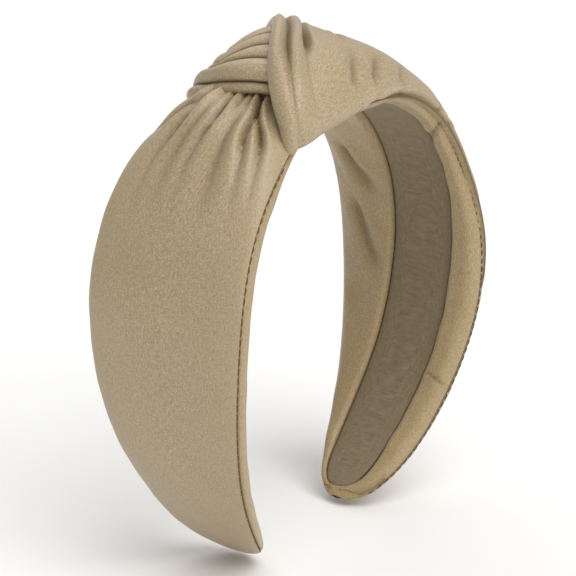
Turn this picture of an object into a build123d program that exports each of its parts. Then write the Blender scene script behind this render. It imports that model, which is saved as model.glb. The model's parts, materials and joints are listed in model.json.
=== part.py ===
"""Knotted headband: a sprung hoop in a lining sleeve, glued into a padded satin tube that is tied in a knot.

X runs across the head, -Y is the front edge, +Z is up. The origin is under the middle of the part, on the
surface that its two tips stand on. Places along the hoop are arc lengths from the middle of the crown, to the
right positive, on the inner face of the lining. "Rise" is the distance outwards from that face.
"""
from build123d import *
import os
from math import cos, radians, sin, tan

# ---- hoop ---------------------------------------------------------------------------------------------------
CROWN_RADIUS = 61.0         # inner face of the lining over the crown
CROWN_HALF_ANGLE = 87.0     # degrees each side of the top that keep the crown's radius
LEG_RADIUS = 89.5           # inner face below the crown, still curving inwards
LEG_LENGTH = 86.5           # lining below the crown, each side
CORE_THICKNESS = 1.6
LINING_FABRIC = 0.5
LINING_WIDTH = 21.5
LINING_SHIFT = -3.5         # the hoop runs nearer to the front edge
LINING_TAPER = 60.0         # stretch over which the lining narrows and rounds off
LINING_NARROWING = 0.4      # share of its width lost over the taper
LINING_NARROW_POWER = 1.6   # how late in the taper it narrows
LINING_ROUND_POWER = 12     # how square its tip is
GLUE_THICKNESS = 0.4
GLUE_MARGIN = 1.2           # lining's edge to the glue's edge
SEAT_GAP = 0.1              # fit between pieces that bear on each other

# ---- padded tube --------------------------------------------------------------------------------------------
TUBE_BEYOND_LINING = 3.0    # the tube runs on past the lining's tip
TUBE_START_RISE = 0.4       # the tube's inner face, just behind the lining's
GROOVE_SIDE_GAP = 0.35
SATIN = 0.7                 # satin with its backing
TUBE_FRONT = 27.0           # widest front reach from the middle of the head's arch
TUBE_BACK = 27.2            # widest back reach
TUBE_THICKNESS = 8.4
FOLD_FRONT_PUFF = 2.4       # tube beyond the groove's front side where the folded tip starts
FOLD_BACK_PUFF = 7.4        # and beyond its back side
FOLD_THICKNESS = 5.4
TIP_FRONT = 7.5             # and where it ends
TIP_BACK = 6.0
TIP_THICKNESS = 4.4
TIP_FOLD = 7.0              # folded end of the tube
FOAM_GAP = 0.25             # slack between the foam and the satin
SEAM_SHARE = 0.45           # height of the edge seams, as a share of the tube's thickness
SEAM_GAP = 0.3

# ---- knot ---------------------------------------------------------------------------------------------------
KNOT_ARC = -26.0            # the knot sits to the left of the crown's middle
KNOT_TUBE_THICKNESS = 19.0  # gathered tube beside the crossing strap
KNOT_FRONT = 20.0
KNOT_BACK = 20.5
KNOT_LEFT_REACH = 11.0      # knot's middle to the end of the left panel
KNOT_RIGHT_REACH = 10.0     # knot's middle to the start of the right panel
STRAP_TOP = 23.0            # top of the crossing strap above the lining's inner face
STRAP_WIDTH = 16.0
STRAP_THICKNESS = 5.0
STRAP_SLANT = 24.0          # how far the strap moves along the hoop from its front end to its back end
STRAP_LEFT_SHARE = 0.42     # share of the slant that lies on the left of the knot's middle
STRAP_BEYOND = 2.5          # strap's ends past the gathered tube's edges
STRAP_FRONT_RISE = 4.0
STRAP_BACK_RISE = 3.0
WRAP_WIDTH = 25.0
WRAP_THICKNESS = 9.0
WRAP_FRONT = 11.0           # front reach of the folded bundle, under the strap
WRAP_BEYOND = 4.0           # its back end past the gathered tube's edge
WRAP_FRONT_RISE = 10.0
WRAP_BACK_RISE = 5.5
WRAP_PLACES = (-5.0, -6.0, -10.0)   # front end, top and back end, along the hoop from the knot's middle
WRAP_TOP_REACH = 6.0        # where along Y the bundle is highest
KNOT_GAP = 0.4              # between the knot's pieces

# ---- flexing shoulders --------------------------------------------------------------------------------------
HINGE_ARC = 64.0            # where each leg is taken to bend from the crown
OPEN_ANGLE = 22.0           # degrees that each leg opens
HINGE_GAP = 0.5
WEDGE_SPARE = 2.0           # degrees of clearance left when a leg is fully open
WEDGE_REACH = 20.0          # cutting block past the tube's outer face
WEDGE_BACK_OFF = 6.0        # and past the slot towards the crown
WEDGE_UNDER = 8.0           # and below the lining's inner face

# ---- stitching ----------------------------------------------------------------------------------------------
STITCH_LENGTH = 2.4
STITCH_PITCH = 4.0
STITCH_THICKNESS = 0.4
STITCH_STAND_OFF = 0.5      # thread's middle beyond the edge
TACK_SPACING = 11.0

CROWN_ARC = CROWN_RADIUS * radians(CROWN_HALF_ANGLE)
LINING_END = CROWN_ARC + LEG_LENGTH
TUBE_END = LINING_END + TUBE_BEYOND_LINING
FOLD_START = TUBE_END - TIP_FOLD
LINING_THICKNESS = CORE_THICKNESS + 2 * LINING_FABRIC
GROOVE_RISE = LINING_THICKNESS + GLUE_THICKNESS
PIVOT_RISE = LINING_THICKNESS / 2
LEG_CENTRE_OUT = CROWN_RADIUS - LEG_RADIUS
FAR = 60.0                  # reach of cutting blocks past anything on the part


def crown_centre_height():
    """Height of the crown's centre that puts the lowest edge of the two tips at zero."""
    angle = radians(CROWN_HALF_ANGLE) + (TUBE_END - CROWN_ARC) / LEG_RADIUS
    outer = LEG_RADIUS + TUBE_START_RISE + TIP_THICKNESS
    return -(LEG_CENTRE_OUT * cos(radians(CROWN_HALF_ANGLE)) + outer * cos(angle))


CENTRE_Z = crown_centre_height()


# ---- places along the hoop ----------------------------------------------------------------------------------
def spot(arc, rise=0.0):
    """(x, z) of a place on the hoop."""
    x, z, _ = place(arc, rise)
    return x, z


def place(arc, rise=0.0):
    """x and z of a place on the hoop, and the angle of its outward direction from +Z."""
    side = 1.0 if arc >= 0 else -1.0
    along = abs(arc)
    if along <= CROWN_ARC:
        angle = along / CROWN_RADIUS
        reach, x0, z0 = CROWN_RADIUS + rise, 0.0, CENTRE_Z
    else:
        crown_angle = radians(CROWN_HALF_ANGLE)
        angle = crown_angle + (along - CROWN_ARC) / LEG_RADIUS
        reach = LEG_RADIUS + rise
        x0 = LEG_CENTRE_OUT * sin(crown_angle)
        z0 = CENTRE_Z + LEG_CENTRE_OUT * cos(crown_angle)
    return side * (x0 + reach * sin(angle)), z0 + reach * cos(angle), side * angle


def section_plane(arc):
    """Plane square to the hoop: its X is the part's +Y, its Y points outwards."""
    x, z, angle = place(arc)
    return Plane(origin=(x, 0, z), x_dir=(0, 1, 0), z_dir=(cos(angle), 0, -sin(angle)))


def side_plane(arc):
    """Plane in the hoop's own curve: its X runs along the hoop, its Y points outwards."""
    x, z, angle = place(arc)
    return Plane(origin=(x, 0, z), x_dir=(cos(angle), 0, -sin(angle)), z_dir=(0, -1, 0))


def spread(start, end, step):
    """Evenly spaced arc lengths from start to end, about a step apart."""
    count = max(2, round(abs(end - start) / step))
    return [start + (end - start) * k / count for k in range(count + 1)]


def smooth(table, arc):
    """Value at an arc length on a smooth curve through (arc, value) pairs, level at its two ends."""
    arcs = [a for a, _ in table]
    values = [v for _, v in table]
    arc = min(max(arc, arcs[0]), arcs[-1])
    i = max(k for k in range(len(arcs) - 1) if arcs[k] <= arc)

    def slope(k):
        if k in (0, len(arcs) - 1):
            return 0.0
        return (values[k + 1] - values[k - 1]) / (arcs[k + 1] - arcs[k - 1])

    span = arcs[i + 1] - arcs[i]
    u = (arc - arcs[i]) / span
    return ((1 + 2 * u) * (1 - u) ** 2 * values[i] + u * (1 - u) ** 2 * span * slope(i)
            + u * u * (3 - 2 * u) * values[i + 1] + u * u * (u - 1) * span * slope(i + 1))


def tube_size(arc):
    """Front reach, back reach and thickness of the padded tube."""
    shoulder_front, shoulder_back = 0.92 * TUBE_FRONT, 1.015 * TUBE_BACK
    shoulder_thick, lower = 1.06 * TUBE_THICKNESS, CROWN_ARC + 0.5 * LEG_LENGTH
    if abs(arc) <= HINGE_ARC:
        near = KNOT_ARC + KNOT_RIGHT_REACH
        front = [(-HINGE_ARC, shoulder_front), (KNOT_ARC, KNOT_FRONT), (near + 25, 0.95 * TUBE_FRONT),
                 (HINGE_ARC, shoulder_front)]
        back = [(-HINGE_ARC, shoulder_back), (KNOT_ARC, KNOT_BACK), (HINGE_ARC, shoulder_back)]
        thick = [(-HINGE_ARC, shoulder_thick), (KNOT_ARC - KNOT_LEFT_REACH, 0.68 * KNOT_TUBE_THICKNESS),
                 (KNOT_ARC, KNOT_TUBE_THICKNESS), (near + 10, 0.8 * KNOT_TUBE_THICKNESS),
                 (near + 45, 1.25 * TUBE_THICKNESS), (HINGE_ARC, shoulder_thick)]
        return smooth(front, arc), smooth(back, arc), smooth(thick, arc)
    along = abs(arc)
    groove_front, groove_back = groove_sides(FOLD_START)
    front = [(HINGE_ARC, shoulder_front), (CROWN_ARC, TUBE_FRONT), (lower, 0.83 * TUBE_FRONT),
             (FOLD_START, FOLD_FRONT_PUFF - groove_front), (TUBE_END, TIP_FRONT)]
    back = [(HINGE_ARC, shoulder_back), (CROWN_ARC, TUBE_BACK), (lower, 0.75 * TUBE_BACK),
            (FOLD_START, FOLD_BACK_PUFF + groove_back), (TUBE_END, TIP_BACK)]
    thick = [(HINGE_ARC, shoulder_thick), (CROWN_ARC, TUBE_THICKNESS), (lower, 0.93 * TUBE_THICKNESS),
             (FOLD_START, FOLD_THICKNESS), (TUBE_END, TIP_THICKNESS)]
    return smooth(front, along), smooth(back, along), smooth(thick, along)


def seam_rise(arc):
    """Rise of the front and back edge seams."""
    return TUBE_START_RISE + SEAM_SHARE * tube_size(arc)[2]


def lining_half_width(arc):
    """Half the lining's width, full over the crown and rounded off at the tips."""
    share = min(max((abs(arc) - (LINING_END - LINING_TAPER)) / LINING_TAPER, 0), 1)
    narrow = 1 - LINING_NARROWING * share ** LINING_NARROW_POWER
    return LINING_WIDTH / 2 * narrow * (1 - share ** LINING_ROUND_POWER) ** 0.5


def groove_sides(arc):
    """Front and back sides of the groove that takes the lining."""
    half = lining_half_width(arc) + GROOVE_SIDE_GAP
    return LINING_SHIFT - half, LINING_SHIFT + half


# ---- solids along the hoop ----------------------------------------------------------------------------------
def hoop_band(start, end, low, high, half_width):
    """Curved bar of rectangular section that follows the hoop between two arc lengths."""
    breaks = [start] + [b for b in (-CROWN_ARC, CROWN_ARC) if start < b < end] + [end]

    def arcs(rise):
        return [ThreePointArc(spot(p, rise), spot((p + q) / 2, rise), spot(q, rise))
                for p, q in zip(breaks, breaks[1:])]

    sides = [Line(spot(a, low), spot(a, high)) for a in (start, end)]
    bar = extrude(Plane.XZ * make_face(arcs(low) + arcs(high) + sides), amount=half_width, both=True)
    return Pos(0, LINING_SHIFT, 0) * bar


def lining_outline(inset):
    """Block that rounds a bar off to the lining's tip, narrower and shorter by an inset."""
    end = LINING_END - inset
    arcs = spread(HINGE_ARC - 4, LINING_END - LINING_TAPER, 20)[:-1]
    arcs += [end - LINING_TAPER * (1 - u) for u in (0, 0.3, 0.55, 0.75, 0.88, 0.95, 0.985, 0.998)]
    faces = []
    for arc in arcs:
        half = lining_half_width(arc + inset) - inset * min(1, (end - arc) / 2 + 0.2)
        faces.append(section_plane(arc) * Pos(LINING_SHIFT, 2) * Rectangle(2 * half, 20))
    return loft(faces, ruled=True)


def tube_loft(arcs, outline):
    """Smooth solid through closed outlines, given by a function of the arc length, square to the hoop."""
    return loft([section_plane(arc) * make_face(outline(arc)) for arc in arcs])


def upper_arc(arc, inset, level):
    """Half ellipse over the tube's outer side, drawn in by an inset, from the front seam to the back one."""
    front, back, thick = tube_size(arc)
    top = TUBE_START_RISE + thick
    middle = ((back - front) / 2, level)
    return EllipticalCenterArc(middle, (back + front) / 2 - inset, top - level - inset, 0, arc_size=180)


def panel_outline(arc):
    """Section of the outer satin panel."""
    level = seam_rise(arc) + SEAM_GAP / 2
    outer, inner = upper_arc(arc, 0, level), upper_arc(arc, SATIN, level)
    return [outer, inner, Line(outer @ 0, inner @ 0), Line(outer @ 1, inner @ 1)]


def lower_path(arc, inset, level):
    """Inner side of the tube from the front seam to the back one: puff, groove for the lining, puff."""
    front, back, _ = tube_size(arc)
    floor, puff = GROOVE_RISE + inset, TUBE_START_RISE + inset
    path = []
    for way, reach, groove_side in zip((-1, 1), (front, back), groove_sides(arc)):
        turn = (way * reach + groove_side) / 2
        wall = groove_side + way * inset
        round_part = EllipticalCenterArc((turn, level), abs(way * reach - turn) - inset, level - puff,
                                         180 if way < 0 else 270, arc_size=90)
        path += [round_part, Line((turn, puff), (wall, puff)), Line((wall, puff), (wall, floor))]
    path.append(Line(path[2] @ 1, path[5] @ 1))
    return path


def facing_outline(arc):
    """Section of the inner facing, with the groove that takes the lining."""
    level = seam_rise(arc) - SEAM_GAP / 2
    outer, inner = lower_path(arc, 0, level), lower_path(arc, SATIN, level)
    return outer + inner + [Line(outer[0] @ 0, inner[0] @ 0), Line(outer[3] @ 1, inner[3] @ 1)]


def foam_outline(arc):
    """Section of the foam that fills the tube."""
    inset = SATIN + FOAM_GAP
    level = seam_rise(arc)
    return [upper_arc(arc, inset, level)] + lower_path(arc, inset, level)


def whole_outline(arc):
    """Section of the closed tube with no groove."""
    front, back, thick = tube_size(arc)
    level = seam_rise(arc)
    under = ThreePointArc((-front, level), ((back - front) / 2, TUBE_START_RISE), (back, level))
    return [upper_arc(arc, 0, level), under]


def hinge_clearance():
    """What a right-leg piece leaves free so that it can open: a slot, and a wedge on the outer side."""
    lean = tan(radians(OPEN_ANGLE + WEDGE_SPARE))
    top = PIVOT_RISE + WEDGE_REACH
    outline = [(-WEDGE_BACK_OFF, -WEDGE_UNDER), (HINGE_GAP, -WEDGE_UNDER), (HINGE_GAP, PIVOT_RISE),
               (HINGE_GAP + WEDGE_REACH * lean, top), (-WEDGE_BACK_OFF, top)]
    block = make_face(Polyline(*outline, close=True))
    return extrude(side_plane(HINGE_ARC) * block, amount=FAR, both=True)


def largest(shape):
    """The largest solid of a shape, without the crumbs that a cut leaves."""
    return max(shape.solids(), key=lambda s: s.volume)


# ---- hoop pieces --------------------------------------------------------------------------------------------
def core_bar(start, end):
    half = LINING_WIDTH / 2 - LINING_FABRIC - SEAT_GAP
    return hoop_band(start, end, LINING_FABRIC + SEAT_GAP, LINING_THICKNESS - LINING_FABRIC - SEAT_GAP, half)


def lining_bar(start, end):
    return hoop_band(start, end, 0, LINING_THICKNESS, LINING_WIDTH / 2)


def pocket_bar(start, end):
    half = LINING_WIDTH / 2 - LINING_FABRIC
    return hoop_band(start, end, LINING_FABRIC, LINING_THICKNESS - LINING_FABRIC, half)


def glue_bar(start, end):
    half = LINING_WIDTH / 2 - GLUE_MARGIN
    return hoop_band(start, end, LINING_THICKNESS + SEAT_GAP, GROOVE_RISE - SEAT_GAP, half)


def crown_hoop():
    """Core, lining sleeve and glue over the crown."""
    span = (-HINGE_ARC, HINGE_ARC)
    return {
        "core_crown": core_bar(*span),
        "lining_crown": lining_bar(*span) - pocket_bar(*span),
        "adhesive_crown": glue_bar(*span),
    }


def leg_hoop(room):
    """The right leg's core, lining sleeve and glue."""
    span = (HINGE_ARC, LINING_END)
    sleeve = (lining_bar(*span) & lining_outline(0)) - (pocket_bar(*span) & lining_outline(LINING_FABRIC))
    core = core_bar(*span) & lining_outline(LINING_FABRIC + SEAT_GAP)
    glue = glue_bar(*span) & lining_outline(GLUE_MARGIN)
    return {"core": core - room, "lining": sleeve - room, "adhesive": glue - room}


# ---- padded tube pieces -------------------------------------------------------------------------------------
def leg_tube(room):
    """The right leg's panel, facing, foam and folded tip."""
    arcs = spread(HINGE_ARC, FOLD_START - SEAM_GAP / 2, 16)
    tip_arcs = spread(FOLD_START + SEAM_GAP / 2, TUBE_END, 3)
    half = lining_half_width(FOLD_START - 2) + GROOVE_SIDE_GAP
    pocket = hoop_band(FOLD_START - 2, LINING_END + GROOVE_SIDE_GAP, -8, GROOVE_RISE, half)
    return {
        "panel": tube_loft(arcs, panel_outline) - room,
        "facing": tube_loft(arcs, facing_outline) - room,
        "foam": tube_loft(arcs[:-1], foam_outline) - room,
        "tip_end": largest(tube_loft(tip_arcs, whole_outline) - pocket),
    }


def crown_tube():
    """Panels, facings and foam on each side of the knot."""
    over_all = strap(KNOT_GAP) + wrap(KNOT_GAP)
    pieces = {}
    for side, start, end in (
        ("left", -HINGE_ARC, KNOT_ARC - KNOT_LEFT_REACH),
        ("right", KNOT_ARC + KNOT_RIGHT_REACH, HINGE_ARC),
    ):
        arcs = spread(start, end, 14)
        for name, outline in (("panel", panel_outline), ("facing", facing_outline), ("foam", foam_outline)):
            pieces[f"{name}_crown_{side}"] = largest(tube_loft(arcs, outline) - over_all)
    return pieces


# ---- knot ---------------------------------------------------------------------------------------------------
def knot_frame():
    """The knot's own frame: X along the hoop to the right, Y to the back, Z outwards."""
    x, z, angle = place(KNOT_ARC)
    return Plane(origin=(x, 0, z), x_dir=(cos(angle), 0, -sin(angle)), z_dir=(sin(angle), 0, cos(angle)))


def bent_band(points, width, thickness, grow):
    """Rounded band swept along the arc through three points of the knot's frame, grown all round."""
    path = ThreePointArc(*points)
    along = path % 0
    start = Plane(origin=path @ 0, x_dir=Vector(0, 0, 1).cross(along), z_dir=along)
    return knot_frame() * sweep(start * Ellipse(width / 2 + grow, thickness / 2 + grow), path=path)


def strap(grow=0.0):
    """The crossing strap, from the front edge over the top to the back edge, slanting to the right."""
    middle = STRAP_TOP - STRAP_THICKNESS / 2
    front, back = KNOT_FRONT + STRAP_BEYOND, KNOT_BACK + STRAP_BEYOND
    left, right = -STRAP_LEFT_SHARE * STRAP_SLANT, (1 - STRAP_LEFT_SHARE) * STRAP_SLANT
    ends = (left, -front, STRAP_FRONT_RISE), (right, back, STRAP_BACK_RISE)
    return bent_band([ends[0], (1, 0, middle), ends[1]], STRAP_WIDTH, STRAP_THICKNESS, grow)


def wrap(grow=0.0):
    """The folded bundle that turns over the left panel to the back edge."""
    middle = STRAP_TOP - STRAP_THICKNESS - WRAP_THICKNESS / 2
    first, top, last = WRAP_PLACES
    points = [(first, -WRAP_FRONT, WRAP_FRONT_RISE), (top, WRAP_TOP_REACH, middle),
              (last, KNOT_BACK + WRAP_BEYOND, WRAP_BACK_RISE)]
    return bent_band(points, WRAP_WIDTH, WRAP_THICKNESS, grow)


def knot_pieces():
    """Gathered core of the knot, folded wrap, crossing strap and the hidden tacking stitches."""
    over = 2 * STRAP_SLANT
    below = hoop_band(KNOT_ARC - over, KNOT_ARC + over, -FAR, GROOVE_RISE + KNOT_GAP, FAR)
    head_space = hoop_band(KNOT_ARC - over, KNOT_ARC + over, -FAR, TUBE_START_RISE, FAR)
    hoop_room = hoop_band(KNOT_ARC - over, KNOT_ARC + over, -FAR, GROOVE_RISE, LINING_WIDTH / 2 + KNOT_GAP)
    arcs = spread(KNOT_ARC - KNOT_LEFT_REACH + KNOT_GAP, KNOT_ARC + KNOT_RIGHT_REACH - KNOT_GAP, 7)
    gathered = tube_loft(arcs, whole_outline) - below - strap(KNOT_GAP) - wrap(KNOT_GAP)
    return {
        "knot_core": largest(gathered),
        "knot_wrap": largest(wrap() - strap(KNOT_GAP) - below),
        "knot_strap": largest(strap() - head_space - hoop_room),
        "knot_tack_stitches": tack_stitches(),
    }


def tack_stitches():
    """Four stitches that hold the knot's core to the lining."""
    stitches = []
    for along in (-TACK_SPACING / 2, TACK_SPACING / 2):
        for across in (-TACK_SPACING / 2, TACK_SPACING / 2):
            spot_on_lining = section_plane(KNOT_ARC + along) * Pos(LINING_SHIFT + across, GROOVE_RISE + KNOT_GAP / 2)
            stitches.append(spot_on_lining * Box(STITCH_LENGTH, KNOT_GAP - SEAT_GAP, STITCH_THICKNESS))
    return Compound(children=stitches)


# ---- stitching ----------------------------------------------------------------------------------------------
def seam_stitches(start, end, side=1):
    """Running stitches along the front seam between two arc lengths, on the right side or the left."""
    stitches = []
    for k in range(int((end - start) // STITCH_PITCH)):
        arc = side * (start + (k + 0.5) * STITCH_PITCH)
        edge = Pos(-tube_size(arc)[0] - STITCH_STAND_OFF, seam_rise(arc))
        stitches.append(section_plane(arc) * edge * Box(STITCH_THICKNESS / 2, STITCH_THICKNESS, STITCH_LENGTH))
    return Compound(children=stitches)


# ---- the whole part -----------------------------------------------------------------------------------------
def leg_pieces():
    """Both legs: the right one, and its mirror image on the left."""
    room = hinge_clearance()
    pieces = {}
    for name, shape in (leg_hoop(room) | leg_tube(room)).items():
        pieces[f"{name}_right"] = shape
        pieces[f"{name}_left"] = mirror(shape, about=Plane.YZ)
    first, last = HINGE_ARC + 1.5 * STITCH_PITCH, FOLD_START
    pieces["seam_stitches_right"] = seam_stitches(first, last)
    pieces["seam_stitches_left"] = seam_stitches(first, last, side=-1)
    return pieces


def main():
    """Builds every piece and writes one file for each."""
    pieces = crown_hoop() | crown_tube() | knot_pieces() | leg_pieces()
    pieces["seam_stitches_crown"] = seam_stitches(0, HINGE_ARC - 1)
    os.makedirs("parts", exist_ok=True)
    for name, shape in pieces.items():
        export_step(shape, f"parts/{name}.step")
        print(f"{name:24s} {len(shape.solids())} solids  {shape.volume:9.1f} mm3")


main()
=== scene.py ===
"""Knotted headband: satin covers, knot, lining sleeve, spring core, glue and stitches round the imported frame.

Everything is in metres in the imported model's frame: X across the head, -Y the front edge, +Z up. Sizes in the
classes are in millimetres. A place on the headband is an arc length from the middle of the crown (right is
positive), a reach along Y and a rise outwards from the inner face of the lining.
"""
import json
import logging
from collections.abc import Callable, Sequence
from dataclasses import dataclass
from enum import Enum
from math import cos, radians, sin

import bmesh
import bpy
import numpy as np
from mathutils import Matrix, Vector


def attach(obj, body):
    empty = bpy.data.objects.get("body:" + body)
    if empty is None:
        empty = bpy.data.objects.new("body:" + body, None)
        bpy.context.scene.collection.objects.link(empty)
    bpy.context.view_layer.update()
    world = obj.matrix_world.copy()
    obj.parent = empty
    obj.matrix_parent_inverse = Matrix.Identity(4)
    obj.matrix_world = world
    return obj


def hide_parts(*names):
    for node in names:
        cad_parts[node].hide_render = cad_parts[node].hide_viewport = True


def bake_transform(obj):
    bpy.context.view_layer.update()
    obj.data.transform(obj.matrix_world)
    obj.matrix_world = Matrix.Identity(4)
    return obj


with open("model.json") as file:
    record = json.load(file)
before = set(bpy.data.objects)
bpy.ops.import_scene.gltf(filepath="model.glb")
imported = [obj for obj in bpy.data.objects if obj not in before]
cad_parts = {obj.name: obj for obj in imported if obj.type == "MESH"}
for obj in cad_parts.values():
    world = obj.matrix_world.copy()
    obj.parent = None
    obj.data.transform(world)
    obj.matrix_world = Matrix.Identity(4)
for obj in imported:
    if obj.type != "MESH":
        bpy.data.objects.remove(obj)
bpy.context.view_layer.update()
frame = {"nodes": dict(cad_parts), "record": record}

MM = 0.001
Pairs = tuple[tuple[float, float], ...]
Places = tuple[tuple[float, float, float], ...]
Colour = tuple[float, float, float]
log = logging.getLogger("headband")


class Side(Enum):
    """The two halves of the headband, with the sign of their arc lengths."""

    LEFT = -1
    RIGHT = 1

    @property
    def word(self) -> str:
        """The side's name, as piece and node names spell it."""
        return self.name.lower()

    @property
    def leg(self) -> str:
        """The body that this side's leg belongs to."""
        return f"{self.word}_leg"


# ---- places and smooth curves --------------------------------------------------------------------
def eased(value: np.ndarray | float) -> np.ndarray:
    """Gives a step from 0 to 1 with level ends, for values from 0 to 1."""
    t = np.clip(value, 0.0, 1.0)
    return t * t * (3 - 2 * t)


def through(stations: Sequence[float], values: np.ndarray, at: np.ndarray) -> np.ndarray:
    """Smooth values between stations.

    Args:
        stations: Rising places of the given values.
        values: One row of values for each station.
        at: Places to read, held inside the stations.

    Returns:
        One row of values for each place.
    """
    s = np.asarray(stations, float)
    v = np.asarray(values, float)
    slopes = np.gradient(v, s, axis=0)
    at = np.clip(np.asarray(at, float), s[0], s[-1])
    i = np.clip(np.searchsorted(s, at, side="right") - 1, 0, len(s) - 2)
    span = (s[i + 1] - s[i]).reshape((-1,) + (1,) * (v.ndim - 1))
    t = (at - s[i]).reshape(span.shape) / span
    return ((1 + 2 * t) * (1 - t) ** 2 * v[i] + t * (1 - t) ** 2 * span * slopes[i]
            + t * t * (3 - 2 * t) * v[i + 1] + t * t * (t - 1) * span * slopes[i + 1])


def read(table: Pairs, along: np.ndarray) -> np.ndarray:
    """Gives smooth sizes at arc lengths, from a table of (arc length, size) pairs."""
    return through([arc for arc, _ in table], np.array([size for _, size in table]), along)


def near_edges(v: np.ndarray, reach: float) -> np.ndarray:
    """Gives 1 at a cut's two long edges, falling to 0 at a share of its width, as a row."""
    return np.clip(1 - np.minimum(v, 1 - v) / reach, 0, 1)[None, :]


def off_edges(v: np.ndarray, reach: float) -> np.ndarray:
    """Gives 0 at a cut's two long edges, easing to 1 at a share of its width."""
    return eased(v / reach) * eased((1 - v) / reach)


@dataclass(frozen=True)
class Hoop:
    """The curve that every piece of the headband follows, on the inner face of the lining."""

    crown_radius: float
    centre_height: float
    leg_radius: float = 89.5
    crown_half_angle: float = 87.0
    leg_length: float = 86.5
    hinge_arc: float = 64.0
    bend_reach: float = 24.0
    bend_rise: float = 1.3

    @property
    def crown_arc(self) -> float:
        """Arc length from the middle of the crown to where a leg's radius starts."""
        return self.crown_radius * radians(self.crown_half_angle)

    @property
    def lining_end(self) -> float:
        """Arc length at the tip of the lining."""
        return self.crown_arc + self.leg_length

    def place(self, arc: np.ndarray, reach: np.ndarray, rise: np.ndarray) -> np.ndarray:
        """Points in metres.

        Args:
            arc: Arc lengths from the middle of the crown, right positive.
            reach: Distances along Y, the front edge negative.
            rise: Distances outwards from the lining's inner face.

        Returns:
            An array of points, one row each.
        """
        arc, reach, rise = np.broadcast_arrays(*(np.asarray(a, float) for a in (arc, reach, rise)))
        along, half = np.abs(arc), radians(self.crown_half_angle)
        crown = along <= self.crown_arc
        offset = self.crown_radius - self.leg_radius
        angle = np.where(crown, along / self.crown_radius, half + (along - self.crown_arc) / self.leg_radius)
        out = np.where(crown, self.crown_radius, self.leg_radius) + rise
        x = np.where(arc >= 0, 1, -1) * (np.where(crown, 0, offset * sin(half)) + out * np.sin(angle))
        z = self.centre_height + np.where(crown, 0, offset * cos(half)) + out * np.cos(angle)
        return np.stack([x, reach, z], axis=-1) * MM

    def blend(self, piece: bpy.types.Object) -> None:
        """Bakes a piece's transform into its mesh."""
        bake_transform(piece)


@dataclass(frozen=True)
class Crease:
    """A fold line pressed into cloth, with its places as (arc, reach) pairs."""

    path: tuple[tuple[float, float], ...]
    depth: float
    width: float = 1.5
    ridge: float = 0.45
    fade_in: float = 0.05
    fade_out: float = 0.6
    steps: int = 40
    narrowest: float = 0.7
    spread: float = 0.9
    sharpness: float = 1.35
    ridge_place: float = 2.3
    ridge_width: float = 1.5

    def push(self, arc: np.ndarray, reach: np.ndarray) -> tuple[np.ndarray, np.ndarray]:
        """Works out how far the crease moves cloth outwards.

        Args:
            arc: Arc lengths of the cloth's points.
            reach: Distances along Y of the cloth's points.

        Returns:
            The outward move in millimetres, and the crease's strength from 0 to 1 at each point, which later
            paints shade into the crease.
        """
        knots = np.linspace(0, 1, len(self.path))
        line = through(knots, np.array(self.path), np.linspace(0, 1, self.steps))
        best = np.full(arc.shape, 1e9)
        where = np.zeros(arc.shape)
        for k in range(len(line) - 1):
            step = line[k + 1] - line[k]
            t = ((arc - line[k, 0]) * step[0] + (reach - line[k, 1]) * step[1]) / (step @ step)
            t = np.clip(t, 0, 1)
            gap = np.hypot(arc - line[k, 0] - t * step[0], reach - line[k, 1] - t * step[1])
            nearer = gap < best
            best = np.where(nearer, gap, best)
            where = np.where(nearer, (k + t) / (len(line) - 1), where)
        fade = eased((where + 1e-6) / self.fade_in)
        fade *= 1 - eased((where - self.fade_out) / (1 - self.fade_out))
        wide = self.width * (self.narrowest + self.spread * where)
        groove = np.exp(-np.abs(best / wide) ** self.sharpness)
        shoulder = np.exp(-((best - self.ridge_place * wide) / (self.ridge_width * wide)) ** 2)
        # The groove's strength is what paints shade into the crease's colour.
        return self.depth * fade * (self.ridge * shoulder - groove), fade * groove


# ---- cloth work ----------------------------------------------------------------------------------
def only(piece: bpy.types.Object) -> None:
    """Selects one object and makes it active.

    Args:
        piece: The object.
    """
    bpy.ops.object.select_all(action="DESELECT")
    piece.select_set(True)
    bpy.context.view_layer.objects.active = piece


def laid_grid(name: str, rows: int, columns: int,
              shape: Callable[[np.ndarray, np.ndarray], tuple[np.ndarray, np.ndarray | None]],
              size: tuple[float, float]) -> bpy.types.Object:
    """Adds a cut of cloth as a grid and lays its points on a shape.

    Args:
        name: The piece's name.
        rows: Faces along the cut.
        columns: Faces across it.
        shape: For arrays of shares along and across the cut, gives an array of points in metres and an array of
        strengths of painted shade for creases, seams and hollows, or None.
        size: Length and width of the cut in metres, for its weave.

    Returns:
        The piece.
    """
    bpy.ops.object.select_all(action="DESELECT")
    bpy.ops.mesh.primitive_grid_add(x_subdivisions=rows, y_subdivisions=columns, size=1, location=(0, 0, 0))
    piece = bpy.context.active_object
    piece.name = piece.data.name = name
    mesh = piece.data
    flat = np.zeros(len(mesh.vertices) * 3)
    mesh.vertices.foreach_get("co", flat)
    flat = flat.reshape(-1, 3) + 0.5
    n_rows, n_columns = len(np.unique(flat[:, 0].round(5))), len(np.unique(flat[:, 1].round(5)))
    i = np.rint(flat[:, 0] * (n_rows - 1)).astype(int)
    j = np.rint(flat[:, 1] * (n_columns - 1)).astype(int)
    points, painted_shade = shape(np.linspace(0, 1, n_rows), np.linspace(0, 1, n_columns))
    mesh.vertices.foreach_set("co", points[i, j].ravel())
    uv = np.zeros(len(mesh.loops) * 2)
    mesh.uv_layers.active.data.foreach_get("uv", uv)
    mesh.uv_layers.active.data.foreach_set("uv", (uv.reshape(-1, 2) * np.array(size)).ravel())
    # This attribute holds painted shade: it darkens the cloth's colour in creases, seams and hollows.
    strength = mesh.attributes.new("painted_shade", "FLOAT", "POINT")
    if painted_shade is not None:
        strength.data.foreach_set("value", painted_shade[i, j].astype(np.float32))
    mesh.update()
    return piece


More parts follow.
